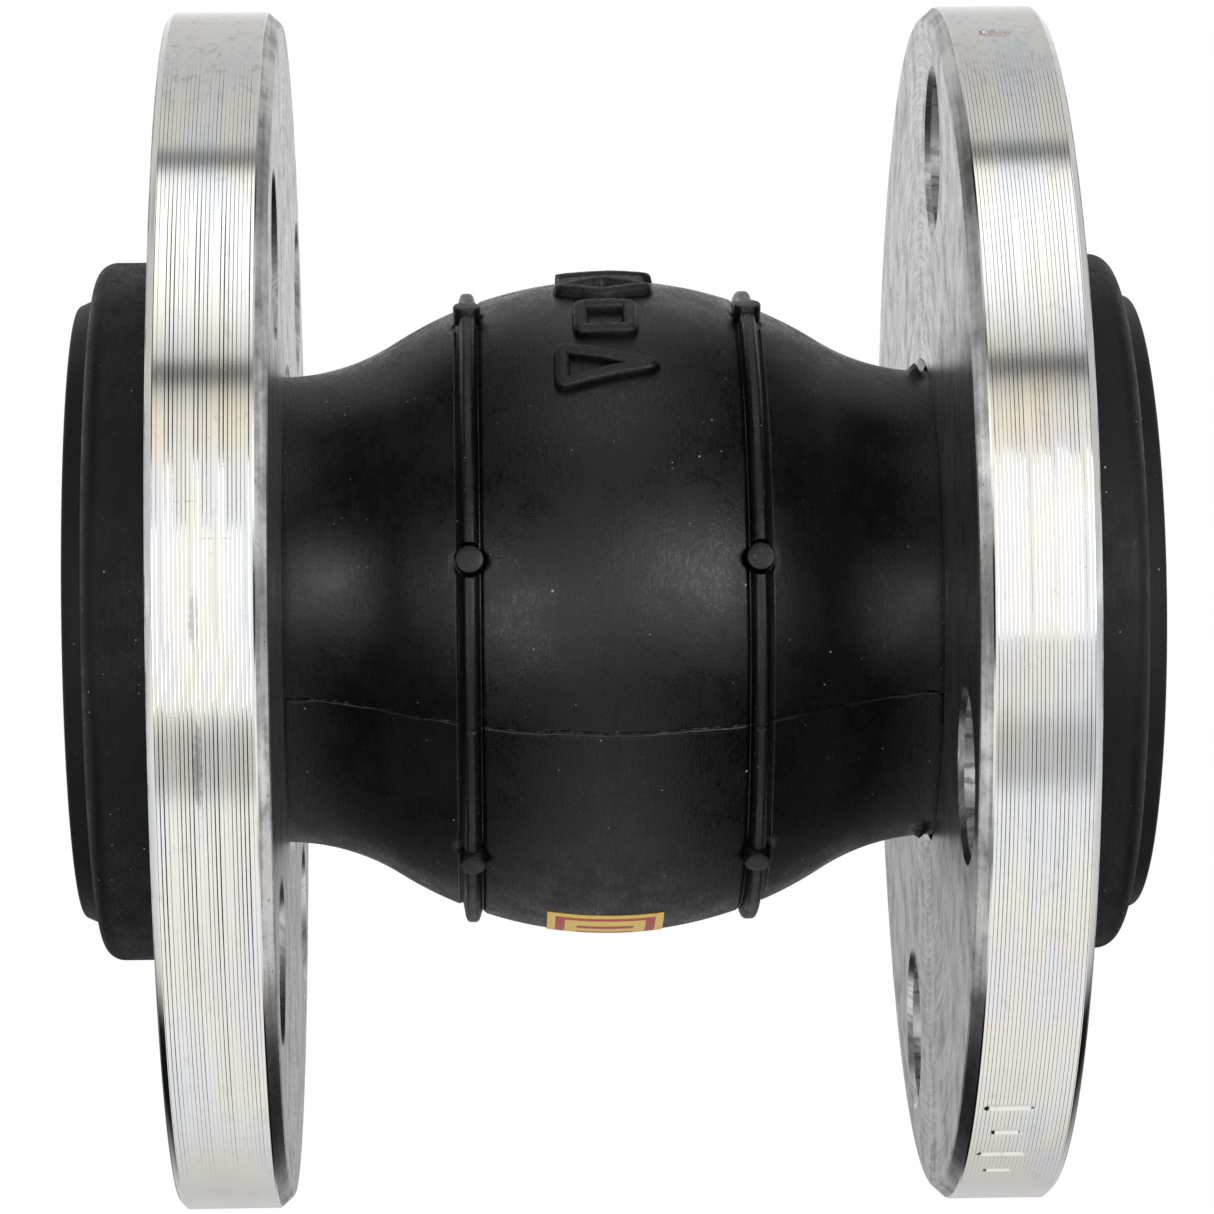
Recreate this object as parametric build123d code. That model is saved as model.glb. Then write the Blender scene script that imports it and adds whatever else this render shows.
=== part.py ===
from build123d import *
import os
from math import acos, asin, cos, degrees, radians, sin

# A rubber expansion joint for 1 inch pipe: one moulded rubber sphere held between two loose steel flanges.
# The pipe axis is X, +Z is up, and the origin is on the axis, midway between the two sealing faces.
# Both sides are mirror images, apart from the turn of their bolt holes and the marks on the sphere.
# An angle round the axis is measured from -Y towards +Z. An outline is drawn as (x, radius).

# the whole joint
FACE_TO_FACE = 95.0
BORE_R = 12.5

# flanges
FLANGE_R = 54.0
FLANGE_T = 10.0
FLANGE_FACE_X = 28.8        # the face towards the sphere
FLANGE_BORE_R = 21.7
FLANGE_LIP_R = 2.0          # round edge that the neck flares over
EDGE_IN = 1.2               # chamfer of the rim towards the sphere
EDGE_OUT = 0.6
BOLT_CIRCLE_R = 42.5
BOLT_HOLE_R = 7.0
BOLT_COUNT = 4
HOLE_CHAMFER = 0.5
LEFT_PHASE = 45.0
RIGHT_PHASE = 70.0

# outer surface of the rubber
CROWN_R = 29.6              # largest radius of the sphere
CROWN_ARC = 35.5            # radius of its outline
WAIST_ARC = 19.2            # radius of the hollow between sphere and neck
NECK_R = 21.1
COLLAR_BACK_X = 35.55
COLLAR_FACE_X = 45.7
COLLAR_R = 31.6
COLLAR_EDGE = 1.8
COLLAR_HEEL = 0.8
NECK_FLARE = 2.25
SEAT_R = 28.6               # foot of the raised sealing ring
SEAT_TOP_R = 27.8
SEAT_LIP = 1.0

# layers of the wall, from the outside in, and the free play between pieces that work on their own
COVER_T = 3.2
PLY_T = 0.7
PLY_COUNT = 3
WALL_T = NECK_R - BORE_R
PLAY = 0.06

# bead in each collar
WIRE_R = 0.65
WIRE_PITCH = 1.34
WIRES_AROUND = 6            # hoops round the middle one
BEAD_X = 40.85
BEAD_R = 26.2
BEAD_SEAT = 2.1
HEEL_ARC = 2.5              # the first cord ply turns up the collar on this radius
TURN_UP_R = 23.6            # the plies end here, behind the bead
FILLER_LIP = 60.0           # degrees each side of the filler's seat for the wires

# moulded details
RIB_X = 12.5
RIB_R = 28.55
RIB_HALF_W = 0.8
BOSS_R = 1.2
BOSS_TOP_R = 28.9
BOSS_ROOT = 2.0             # how far a boss reaches down into its rib
BOSS_COUNT = 6
BOSS_PHASE = 8.3
MARK_H = 0.9
MARK_LENGTH = 9.2           # along the axis
MARK_WIDTH = 5.7
MARK_STROKE = 1.3
MARK_X = -0.3
MARK_START = 44.7
MARK_STEP = 13.7
LABEL_T = 0.15
LABEL_X = (-5.9, 4.5)
LABEL_ANGLES = (-68.5, -111.0)

# worked out from the above
SHELL_DEPTH = COVER_T + PLAY
TUBE_DEPTH = SHELL_DEPTH + PLY_COUNT * PLY_T
CROWN_CENTRE = CROWN_R - CROWN_ARC
WAIST_CENTRE = NECK_R + WAIST_ARC
TURN = degrees(acos((WAIST_CENTRE - CROWN_CENTRE) / (CROWN_ARC + WAIST_ARC)))
WAIST_X = (CROWN_ARC + WAIST_ARC) * sin(radians(TURN))
HEEL_X = BEAD_X + BEAD_SEAT - HEEL_ARC
HEEL_R = NECK_R - COVER_T + HEEL_ARC
FLANGE_BACK_X = FLANGE_FACE_X + FLANGE_T
RECESS_X = COLLAR_BACK_X - 0.25
RECESS_R = COLLAR_R + 0.4


def path(*points):
    """Straight lines through the given points."""
    return [Line(a, b) for a, b in zip(points, points[1:])]


def ring(edges):
    """A full ring, from an outline given on one side of the middle plane."""
    both = Curve() + edges + mirror(Curve() + edges, about=Plane.YZ)
    return revolve(Plane.XZ * make_face(both.edges()), axis=Axis.X)


def side_ring(edges):
    """A ring on the right side only, from its closed outline."""
    return revolve(Plane.XZ * make_face((Curve() + edges).edges()), axis=Axis.X)


def wall_line(depth, end_x):
    """From the middle of the sphere to end_x on the neck, at a depth under the outer surface."""
    crown = CenterArc((0, CROWN_CENTRE), CROWN_ARC - depth, 90 - TURN, TURN)
    waist = CenterArc((WAIST_X, WAIST_CENTRE), WAIST_ARC + depth, 270 - TURN, TURN)
    return [crown, waist] + path((WAIST_X, NECK_R - depth), (end_x, NECK_R - depth))


def cord_line(depth):
    """A cord line: along the wall, up the collar, over the bead and down behind it."""
    reach = depth - COVER_T
    heel = CenterArc((HEEL_X, HEEL_R), HEEL_ARC + reach, -90, 90)
    hoop = CenterArc((BEAD_X, BEAD_R), BEAD_SEAT + reach, 0, 180)
    rise = path((BEAD_X + BEAD_SEAT + reach, HEEL_R), (BEAD_X + BEAD_SEAT + reach, BEAD_R))
    tail = path((BEAD_X - BEAD_SEAT - reach, BEAD_R), (BEAD_X - BEAD_SEAT - reach, TURN_UP_R + PLAY))
    return wall_line(depth, HEEL_X) + [heel, hoop] + rise + tail


def cord_ply(index):
    """One ply of nylon cord cloth, from one turned-up end to the other."""
    outside = SHELL_DEPTH + index * PLY_T
    inside = outside + PLY_T
    end_x = BEAD_X - BEAD_SEAT + COVER_T
    end = path((end_x - outside, TURN_UP_R + PLAY), (end_x - inside, TURN_UP_R + PLAY))
    return ring(cord_line(outside) + cord_line(inside) + end)


def angle_at(radius, height):
    """Degrees above the axis direction of a point at this height on a circle."""
    return degrees(asin(height / radius))


def inner_tube():
    """The liner: it carries the fluid, and turns out over both ends as the raised sealing rings."""
    reach = BEAD_SEAT + TUBE_DEPTH - COVER_T
    face_x = FACE_TO_FACE / 2
    rim_r = SEAT_R - PLAY
    rim_angle = angle_at(reach, rim_r - BEAD_R)
    rim_x = BEAD_X + reach * cos(radians(rim_angle))
    outside = wall_line(TUBE_DEPTH, HEEL_X)
    outside += [CenterArc((HEEL_X, HEEL_R), HEEL_ARC + TUBE_DEPTH - COVER_T, -90, 90)]
    outside += path((BEAD_X + reach, HEEL_R), (BEAD_X + reach, BEAD_R))
    outside += [CenterArc((BEAD_X, BEAD_R), reach, 0, rim_angle)]
    face = path((rim_x, rim_r), (COLLAR_FACE_X, rim_r), (face_x, SEAT_TOP_R), (face_x, BORE_R + SEAT_LIP))
    lip = [CenterArc((face_x - SEAT_LIP, BORE_R + SEAT_LIP), SEAT_LIP, -90, 90)]
    return ring(outside + face + lip + wall_line(WALL_T, face_x - SEAT_LIP))


def collar_outline():
    """The outside of the cover from the neck, round the collar, to the foot of the sealing ring."""
    flare_x = COLLAR_BACK_X - NECK_FLARE
    edges = [CenterArc((flare_x, NECK_R + NECK_FLARE), NECK_FLARE, -90, 90)]
    edges += path((COLLAR_BACK_X, NECK_R + NECK_FLARE), (COLLAR_BACK_X, COLLAR_R - COLLAR_HEEL))
    edges += [CenterArc((COLLAR_BACK_X + COLLAR_HEEL, COLLAR_R - COLLAR_HEEL), COLLAR_HEEL, 90, 90)]
    edges += path((COLLAR_BACK_X + COLLAR_HEEL, COLLAR_R), (COLLAR_FACE_X - COLLAR_EDGE, COLLAR_R))
    edges += [CenterArc((COLLAR_FACE_X - COLLAR_EDGE, COLLAR_R - COLLAR_EDGE), COLLAR_EDGE, 0, 90)]
    edges += path((COLLAR_FACE_X, COLLAR_R - COLLAR_EDGE), (COLLAR_FACE_X, SEAT_R))
    return wall_line(0, flare_x) + edges


def cover_shell():
    """The outer cover without its moulded details."""
    reach = BEAD_SEAT + TUBE_DEPTH - COVER_T + PLAY
    rim_angle = angle_at(reach, SEAT_R - BEAD_R)
    rim_x = BEAD_X + reach * cos(radians(rim_angle))
    tip = CenterArc((HEEL_X, HEEL_R), HEEL_ARC, -90, 45)
    edges = path((COLLAR_FACE_X, SEAT_R), (rim_x, SEAT_R))
    edges += [CenterArc((BEAD_X, BEAD_R), reach, rim_angle, 180 - rim_angle)]
    edges += path((BEAD_X - reach, BEAD_R), (BEAD_X - reach, TURN_UP_R), (BEAD_X - BEAD_SEAT, TURN_UP_R), tip @ 1)
    return ring(collar_outline() + edges + [tip] + wall_line(COVER_T, HEEL_X))


def mark_outlines():
    """Four plain shapes: a triangle, a square frame, a diamond and a chevron."""
    half_l = MARK_LENGTH / 2
    half_w = MARK_WIDTH / 2
    triangle = Polygon((-half_l, -half_w), (half_l, 0), (-half_l, half_w), align=None)
    diamond = Polygon((-half_l, 0), (0, -half_w), (half_l, 0), (0, half_w), align=None)
    square = Rectangle(MARK_WIDTH, MARK_WIDTH)
    frames = [face - offset(face, -MARK_STROKE, kind=Kind.INTERSECTION) for face in (triangle, square, diamond)]
    tips = ((-half_l, -half_w), (half_l - MARK_STROKE, 0), (-half_l, half_w))
    outer = ((-half_l + 2 * MARK_STROKE, half_w), (half_l, 0), (-half_l + 2 * MARK_STROKE, -half_w))
    return frames + [Polygon(*tips, *outer, align=None)]


def raised_marks():
    """The marks, standing off the crown like moulded size figures."""
    crown = CenterArc((0, CROWN_CENTRE), CROWN_ARC + MARK_H, 90 - TURN, TURN)
    skin = ring([crown] + path(crown @ 0, ((crown @ 0).X, 0), (0, 0)))
    base = CROWN_R - COVER_T / 2
    marks = []
    for index, outline in enumerate(mark_outlines()):
        prism = Pos(MARK_X, 0, base) * extrude(outline, COVER_T, dir=(0, 0, 1))
        turn = 90 - MARK_START - index * MARK_STEP
        marks.append(Rot(X=turn) * prism & skin)
    return marks


def outer_cover():
    """The cover with its two ribs, their round bosses and the raised marks."""
    cover = cover_shell()
    boss_h = BOSS_TOP_R - RIB_R + BOSS_ROOT
    boss = Pos(0, 0, BOSS_TOP_R - boss_h / 2) * Cylinder(BOSS_R, boss_h)
    for side in (-1, 1):
        cover += Pos(side * RIB_X, 0, 0) * Rot(Y=90) * Torus(RIB_R - RIB_HALF_W, RIB_HALF_W)
        for index in range(BOSS_COUNT):
            turn = 90 - BOSS_PHASE - index * 360 / BOSS_COUNT
            cover += Rot(X=turn) * Pos(side * RIB_X, 0, 0) * boss
    for mark in raised_marks():
        cover += mark
    return cover


def bead_wires():
    """Steel hoops: one in the middle and the others round it."""
    places = [(BEAD_X, BEAD_R)]
    for index in range(WIRES_AROUND):
        around = radians(index * 360 / WIRES_AROUND)
        places.append((BEAD_X + WIRE_PITCH * cos(around), BEAD_R + WIRE_PITCH * sin(around)))
    return Compound([Pos(x, 0, 0) * Rot(Y=90) * Torus(radius, WIRE_R) for x, radius in places])


def bead_filler():
    """The rubber wedge that fills the fold of the plies under the wires."""
    front = BEAD_X + BEAD_SEAT
    back = BEAD_X - BEAD_SEAT
    seat = CenterArc((BEAD_X, BEAD_R), BEAD_SEAT, 270 - FILLER_LIP, 2 * FILLER_LIP)
    heel = CenterArc((HEEL_X, HEEL_R), HEEL_ARC, -45, 45)
    edges = [seat, heel]
    edges += path(heel @ 1, (front, (seat @ 1).Y), seat @ 1)
    edges += path(seat @ 0, (back, (seat @ 0).Y), (back, TURN_UP_R), heel @ 0)
    face = offset(make_face((Curve() + edges).edges()), -PLAY, kind=Kind.INTERSECTION)
    return revolve(Plane.XZ * face, axis=Axis.X)


def label():
    """A thin sticker on the underside of the sphere."""
    ends = [degrees(acos(x / CROWN_ARC)) for x in LABEL_X]
    span = ends[0] - ends[1]
    low = CenterArc((0, CROWN_CENTRE), CROWN_ARC, ends[1], span)
    high = CenterArc((0, CROWN_CENTRE), CROWN_ARC + LABEL_T, ends[1], span)
    face = make_face((Curve() + [low, high] + path(low @ 0, high @ 0) + path(low @ 1, high @ 1)).edges())
    patch = revolve(Plane.XZ * face, axis=Axis.X, revolution_arc=LABEL_ANGLES[0] - LABEL_ANGLES[1])
    return Rot(X=90 - LABEL_ANGLES[0]) * patch


def flange_ring():
    """The right flange before its holes: a flat ring with a recess for the collar."""
    lip_x = RECESS_X - FLANGE_LIP_R
    lip = CenterArc((lip_x, FLANGE_BORE_R + FLANGE_LIP_R), FLANGE_LIP_R, -90, 90)
    rim = path(
        (lip_x, FLANGE_BORE_R),
        (FLANGE_FACE_X + EDGE_OUT, FLANGE_BORE_R),
        (FLANGE_FACE_X, FLANGE_BORE_R + EDGE_OUT),
        (FLANGE_FACE_X, FLANGE_R - EDGE_IN),
        (FLANGE_FACE_X + EDGE_IN, FLANGE_R),
        (FLANGE_BACK_X - EDGE_OUT, FLANGE_R),
        (FLANGE_BACK_X, FLANGE_R - EDGE_OUT),
        (FLANGE_BACK_X, RECESS_R),
        (RECESS_X, RECESS_R),
        lip @ 1,
    )
    return side_ring(rim + [lip])


def bolt_hole():
    """The tool that cuts one bolt hole with broken edges, at the top of the bolt circle."""
    outline = path(
        (FLANGE_FACE_X, 0),
        (FLANGE_FACE_X, BOLT_HOLE_R + HOLE_CHAMFER),
        (FLANGE_FACE_X + HOLE_CHAMFER, BOLT_HOLE_R),
        (FLANGE_BACK_X - HOLE_CHAMFER, BOLT_HOLE_R),
        (FLANGE_BACK_X, BOLT_HOLE_R + HOLE_CHAMFER),
        (FLANGE_BACK_X, 0),
        (FLANGE_FACE_X, 0),
    )
    return Pos(0, 0, BOLT_CIRCLE_R) * side_ring(outline)


def flange(phase):
    """The right flange, with one of its bolt holes at this angle."""
    body = flange_ring()
    hole = bolt_hole()
    for index in range(BOLT_COUNT):
        body -= Rot(X=90 - phase - index * 360 / BOLT_COUNT) * hole
    return body


def on_left(shape):
    """The same shape on the left side."""
    return mirror(shape, about=Plane.YZ)


parts = {
    "left_flange": on_left(flange(LEFT_PHASE)),
    "right_flange": flange(RIGHT_PHASE),
    "outer_cover": outer_cover(),
    "inner_tube": inner_tube(),
    "left_bead_wires": on_left(bead_wires()),
    "right_bead_wires": bead_wires(),
    "left_bead_filler": on_left(bead_filler()),
    "right_bead_filler": bead_filler(),
    "label": label(),
}
for ply in range(PLY_COUNT):
    parts[f"cord_ply_{ply + 1}"] = cord_ply(ply)

os.makedirs("parts", exist_ok=True)
for name, shape in parts.items():
    export_step(shape, f"parts/{name}.step")
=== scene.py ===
from math import cos, degrees, radians, sin

import bmesh
import bpy
import numpy as np
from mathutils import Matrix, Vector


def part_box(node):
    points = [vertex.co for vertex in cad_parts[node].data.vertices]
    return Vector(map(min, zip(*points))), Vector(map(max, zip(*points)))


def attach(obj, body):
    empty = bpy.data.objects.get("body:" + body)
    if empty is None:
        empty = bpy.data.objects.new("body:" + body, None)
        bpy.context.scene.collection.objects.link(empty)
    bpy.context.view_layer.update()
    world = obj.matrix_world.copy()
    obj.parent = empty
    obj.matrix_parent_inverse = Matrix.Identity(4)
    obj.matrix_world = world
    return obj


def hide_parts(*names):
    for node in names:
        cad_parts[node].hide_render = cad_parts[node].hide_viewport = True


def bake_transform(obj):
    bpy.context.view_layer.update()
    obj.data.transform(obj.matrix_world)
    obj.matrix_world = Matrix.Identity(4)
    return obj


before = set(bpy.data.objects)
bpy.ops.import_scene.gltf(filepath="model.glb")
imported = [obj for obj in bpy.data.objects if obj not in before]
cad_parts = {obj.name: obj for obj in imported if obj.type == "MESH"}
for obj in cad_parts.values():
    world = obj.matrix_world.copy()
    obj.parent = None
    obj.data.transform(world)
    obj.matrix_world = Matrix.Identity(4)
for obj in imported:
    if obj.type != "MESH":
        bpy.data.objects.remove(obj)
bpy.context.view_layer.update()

# A rubber expansion joint: a moulded rubber sphere between two loose, zinc plated flanges.
# The pipe axis is X. An angle round it is measured from -Y, the front, towards +Z.
# Outlines are (x, radius) in millimetres, and become metres when a mesh is made.

MM = 0.001

# sizes read from the frame
FLANGE_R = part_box("right_flange")[1].z / MM
FLANGE_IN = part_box("right_flange")[0].x / MM
FLANGE_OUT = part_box("right_flange")[1].x / MM
COLLAR_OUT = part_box("outer_cover")[1].x / MM
FACE_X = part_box("inner_tube")[1].x / MM

# the rubber wall
CROWN_R = 29.6
CROWN_ARC = 35.5
WAIST_ARC = 19.2
NECK_R = 21.1
BORE_R = 12.5
COVER_T = 3.2
PLY_T = 0.7
PLY_COUNT = 3
PLAY = 0.06
CROWN_CENTRE = CROWN_R - CROWN_ARC
WAIST_CENTRE = NECK_R + WAIST_ARC
TURN = degrees(np.arccos((WAIST_CENTRE - CROWN_CENTRE) / (CROWN_ARC + WAIST_ARC)))
WAIST_X = (CROWN_ARC + WAIST_ARC) * sin(radians(TURN))
SHELL_DEPTH = COVER_T + PLAY
TUBE_DEPTH = SHELL_DEPTH + PLY_COUNT * PLY_T
WALL_T = NECK_R - BORE_R

# collars and sealing rings
COLLAR_IN = 35.55
COLLAR_R = 31.6
COLLAR_EDGE = 1.8
COLLAR_HEEL = 0.8
NECK_FLARE = 2.25
SEAT_R = 28.6
SEAT_TOP_R = 27.8
SEAT_LIP = 1.0

# bead
BEAD_X = 40.85
BEAD_R = 26.2
BEAD_SEAT = 2.1
HEEL_ARC = 2.5
TURN_UP_R = 23.6
WIRE_R = 0.65
WIRE_PITCH = 1.34
WIRES_AROUND = 6
HEEL_X = BEAD_X + BEAD_SEAT - HEEL_ARC
HEEL_R = NECK_R - COVER_T + HEEL_ARC

# moulded details of the sphere
RIB_X = 12.5
RIB_R = 28.55
RIB_HALF_W = 0.8
BOSS_R = 1.2
BOSS_TOP_R = 28.9
BOSS_COUNT = 6
BOSS_STEP = 360 / BOSS_COUNT
BOSS_PHASE = 8.3
BOSS_GAP = 0.3
PARTING = -21.7
MARK_H = 0.9
MARK_X = -0.3
MARK_LENGTH = 9.2
MARK_WIDTH = 5.7
MARK_STROKE = 1.3
MARK_START = 44.7
MARK_STEP = 13.7
MARK_CORNER = 0.55
# half of a mark's section: half width, and height over the skin
MARK_SIDE = ((0.8, -0.4), (0.7, 0.1), (0.64, 0.5), (0.56, 0.72), (0.42, 0.84), (0.2, 0.89))

# the sphere's skin and the two necks are separate pieces, which meet just outside the ribs
SPLIT_X = 13.8

# torn lips on the right neck: middle angle, half width in degrees, height
NIB_X = 27.8
NIBS = ((77.0, 4.5, 0.95), (-74.0, 5.0, 0.7))

# the sticker
LABEL_X = (-5.9, 4.5)
LABEL_ANGLES = (-111.0, -68.5)
LABEL_T = 0.15

# flanges
FLANGE_BORE_R = 21.7
FLANGE_LIP = 2.0
RECESS_R = COLLAR_R + 0.4
RECESS_X = COLLAR_IN - 0.25
EDGE_IN = 1.2
EDGE_OUT = 0.6
BOLT_CIRCLE_R = 42.5
BOLT_HOLE_R = 7.0
HOLE_CHAMFER = 0.5
PHASES = {"left": 45.0, "right": 70.0}
GROOVES = 24
GROOVE_DEPTH = 0.011
# one groove's outline: parts of its pitch, and of its depth
GROOVE_PLACES = (0.0, 0.05, 0.64, 0.69, 0.81, 0.91)
GROOVE_DEPTHS = (0.03, 0.0, 0.03, 0.1, 1.0, 0.4)
# four plain punched bars, as (height, half length), and a knock, as (x, angle)
PUNCH_X = 32.9
PUNCH_ANGLE = -60.5
PUNCH_BARS = ((7.2, 1.7), (3.0, 0.9), (-1.4, 1.7), (-5.6, 0.9))
PUNCH_DEPTH = 0.15
KNOCK = (33.8, 66.6)
KNOCK_HALF = (1.9, 1.2)
KNOCK_DEPTH = 0.22

# marks of handling, as spots: x, angle, half width, half angle, raggedness
SMEAR = (-37.2, -10.6, 0.9, 3.0, 2.2)
RUB = (-36.0, 0.6, 1.3, 0.7, 2.6)
SMUDGES = ((-34.8, -0.9, 0.5, 3.2, 1.6), (-34.7, -13.8, 0.45, 4.8, 1.8))
SCRATCHES = ((-34.0, 9.4, 3.4, 0.12, 3.0), (-33.2, 6.2, 2.2, 0.1, 3.2))
SCAR_R = 36.0

# how fine the meshes are: degrees between rows of points round the axis, and points of small pieces
COVER_ROWS = 1.3
RIM_ROWS = 1.2
LAYER_ROWS = 3.0
HOLE_SIDES = 64
BOSS_SIDES = 28
HOOP_SIDES = 96
WIRE_SIDES = 10
LABEL_GRID = (34, 64)

# edges sharper than this, in degrees, stay crisp
CREASE = 35.0
MARK_CREASE = 50
RIM_CREASE = 14


# ---- outlines

def run(*points):
    """Straight runs through points."""
    return np.array(points, float)


def arc(centre, radius, start, sweep, step=0.5):
    """Points on an arc, in degrees, about step millimetres apart."""
    count = max(3, int(abs(radians(sweep)) * radius / step) + 2)
    around = np.radians(np.linspace(start, start + sweep, count))
    return np.column_stack((centre[0] + radius * np.cos(around), centre[1] + radius * np.sin(around)))


def join(*runs):
    """One outline from several runs, without repeated points."""
    points = np.vstack(runs)
    far = np.linalg.norm(np.diff(points, axis=0), axis=1) > 1e-4
    return points[np.concatenate(([True], far))]


def split_long(points, step):
    """The same outline with its long runs divided into steps."""
    parts = [points[:1]]
    for a, b in zip(points, points[1:]):
        count = max(1, int(np.ceil(np.linalg.norm(b - a) / step)))
        parts.append(a + (b - a) * np.linspace(0, 1, count + 1)[1:, None])
    return np.vstack(parts)


def wall_radius(x, depth=0.0):
    """Radius of the wall at x, at a depth under the outer surface."""
    x = np.abs(x)
    edge = (CROWN_ARC - depth) * sin(radians(TURN))
    crown = CROWN_CENTRE + np.sqrt(np.maximum((CROWN_ARC - depth) ** 2 - x**2, 0))
    waist = WAIST_CENTRE - np.sqrt(np.maximum((WAIST_ARC + depth) ** 2 - (x - WAIST_X) ** 2, 0))
    return np.where(x < edge, crown, np.where(x < WAIST_X, waist, NECK_R - depth))


def wall_run(x0, x1, depth=0.0, step=0.5):
    """The wall's line from x0 to x1."""
    x = np.linspace(x0, x1, max(2, int(abs(x1 - x0) / step) + 1))
    return np.column_stack((x, wall_radius(x, depth)))


# ---- meshes

def rows(windows=(), coarse=1.5):
    """Angles round the axis, finer inside each window of (from, to, step)."""
    angles = list(np.arange(-180.0, 180.0, coarse))
    for low, high, step in windows:
        angles = [a for a in angles if not low - coarse / 2 < a < high + coarse / 2]
        angles += list(np.arange(low, high, step))
    return np.array(sorted(angles))


def linked(name, data):
    """A new object in the scene."""
    made = bpy.data.objects.new(name, data)
    bpy.context.scene.collection.objects.link(made)
    return made


def mesh_object(name, points, faces):
    """A piece from points in millimetres."""
    mesh = bpy.data.meshes.new(name)
    mesh.from_pydata((np.asarray(points) * MM).tolist(), [], faces)
    return linked(name, mesh)


def applied(piece):
    """Puts a plain mesh in place of the piece's mesh and modifiers."""
    bpy.context.view_layer.update()
    result = bpy.data.meshes.new_from_object(piece.evaluated_get(bpy.context.evaluated_depsgraph_get()))
    result.name = piece.name
    piece.modifiers.clear()
    piece.data = result


def add_solid(mesh, rings):
    """Adds a stack of rings of points in millimetres, closed at both ends."""
    rings = [[mesh.verts.new([value * MM for value in point]) for point in ring] for ring in rings]
    for low, high in zip(rings, rings[1:]):
        for k in range(len(low)):
            after = (k + 1) % len(low)
            mesh.faces.new((low[k], low[after], high[after], high[k]))
    mesh.faces.new(rings[0])
    mesh.faces.new(rings[-1])


def outward_mesh(made, data):
    """Turns all faces of a closed bmesh outwards, and writes it to the mesh."""
    bmesh.ops.recalc_face_normals(made, faces=made.faces)
    made.to_mesh(data)
    made.free()
    return data


def outwards(piece):
    """Turns all faces of a closed piece outwards."""
    made = bmesh.new()
    made.from_mesh(piece.data)
    outward_mesh(made, piece.data)


def circle(sides):
    """Angles of a circle's points, in radians."""
    return [radians(360 * k / sides) for k in range(sides)]


def around_axis(x, radius, angle):
    """Points in space from an outline's values and angles in degrees."""
    turn = np.radians(angle)
    return np.stack((x, -radius * np.cos(turn), radius * np.sin(turn)), axis=-1)


def lathe(name, outline, angles, relief=None):
    """A closed outline turned round the axis. relief(x, radius, angle) is added to the radius."""
    outline = np.asarray(outline, float)
    if np.linalg.norm(outline[0] - outline[-1]) < 1e-4:
        outline = outline[:-1]
    after = np.roll(outline, -1, axis=0)
    area = np.sum(outline[:, 0] * after[:, 1] - after[:, 0] * outline[:, 1])
    if area > 0:
        outline = outline[::-1]
    x, angle = np.meshgrid(outline[:, 0], angles, indexing="ij")
    radius = np.repeat(outline[:, 1:2], len(angles), axis=1)
    if relief is not None:
        radius = radius + relief(x, radius, angle)
    points = around_axis(x, radius, angle).reshape(-1, 3)
    n, m = x.shape
    i, j = np.meshgrid(np.arange(n), np.arange(m), indexing="ij")
    i2, j2 = (i + 1) % n, (j + 1) % m
    faces = np.stack((i * m + j, i * m + j2, i2 * m + j2, i2 * m + j), axis=-1).reshape(-1, 4)
    return mesh_object(name, points, faces.tolist())


def smooth(piece, angle=CREASE):
    """Smooth shading, with the edges sharper than angle kept crisp."""
    piece.data.polygons.foreach_set("use_smooth", [True] * len(piece.data.polygons))
    piece.data.set_sharp_from_angle(angle=radians(angle))
    return piece


# ---- moulded relief of the rubber

def step_up(value, low, high):
    """0 below low, 1 above high, smooth between."""
    t = np.clip((value - low) / (high - low), 0, 1)
    return t * t * (3 - 2 * t)


def wander(value, seed, scale=1.0):
    """A smooth uneven line between about -1 and 1."""
    rng = np.random.default_rng(seed)
    total = 0.0
    for octave in range(4):
        rate = 2**octave / scale
        total = total + np.sin(value * rate + rng.uniform(0, 6.28)) / 1.6 ** octave
    return total / 2.3


def turned_by(angle, centre):
    """Degrees from centre to angle, between -180 and 180."""
    return (angle - centre + 180) % 360 - 180


def bosses_relief(x, angle):
    """The sunk ring round each boss, and the flat under it."""
    sunk = np.zeros_like(x)
    for index in range(BOSS_COUNT):
        turn = turned_by(angle, BOSS_PHASE + index * BOSS_STEP)
        away = np.hypot(np.abs(x) - RIB_X, BOSS_TOP_R * np.radians(turn))
        sunk = np.maximum(sunk, step_up(-away, -BOSS_R - BOSS_GAP - 0.05, -BOSS_R - 0.05))
    return sunk


def ribs_relief(x, angle, wall):
    """Height of the two ribs, with a fine sunk line along each foot."""
    across = np.abs(np.abs(x) - RIB_X + 0.05 * wander(angle, 4, 30.0))
    crest = RIB_R - wall + 0.03 * wander(angle * 0.2, 3)
    rail = crest * (1 - np.clip(across / RIB_HALF_W, 0, 1) ** 4) ** 0.8
    foot = 0.22 * np.exp(-(((across - RIB_HALF_W - 0.14) / 0.15) ** 2))
    return rail - foot


def stroke_distance(u, v, ends):
    """Distance from a point to the nearest of the strokes between ends."""
    nearest = np.full(np.shape(u), 1e3)
    for (u0, v0), (u1, v1) in zip(ends, ends[1:]):
        length = (u1 - u0) ** 2 + (v1 - v0) ** 2
        t = np.clip(((u - u0) * (u1 - u0) + (v - v0) * (v1 - v0)) / length, 0, 1)
        nearest = np.minimum(nearest, np.hypot(u - u0 - t * (u1 - u0), v - v0 - t * (v1 - v0)))
    return nearest


def rounded(points, reach, closed):
    """The same line with its corners rounded, starting reach before each corner."""
    line = []
    last = len(points) - 1
    for index, corner in enumerate(points):
        if not closed and index in (0, last):
            line.append(corner)
            continue
        before = points[index - 1] - corner
        after = points[(index + 1) % len(points)] - corner
        start = corner + before / np.linalg.norm(before) * reach
        end = corner + after / np.linalg.norm(after) * reach
        for t in np.linspace(0, 1, 5):
            line.append((1 - t) ** 2 * start + 2 * t * (1 - t) * corner + t * t * end)
    return np.array(line)


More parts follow.
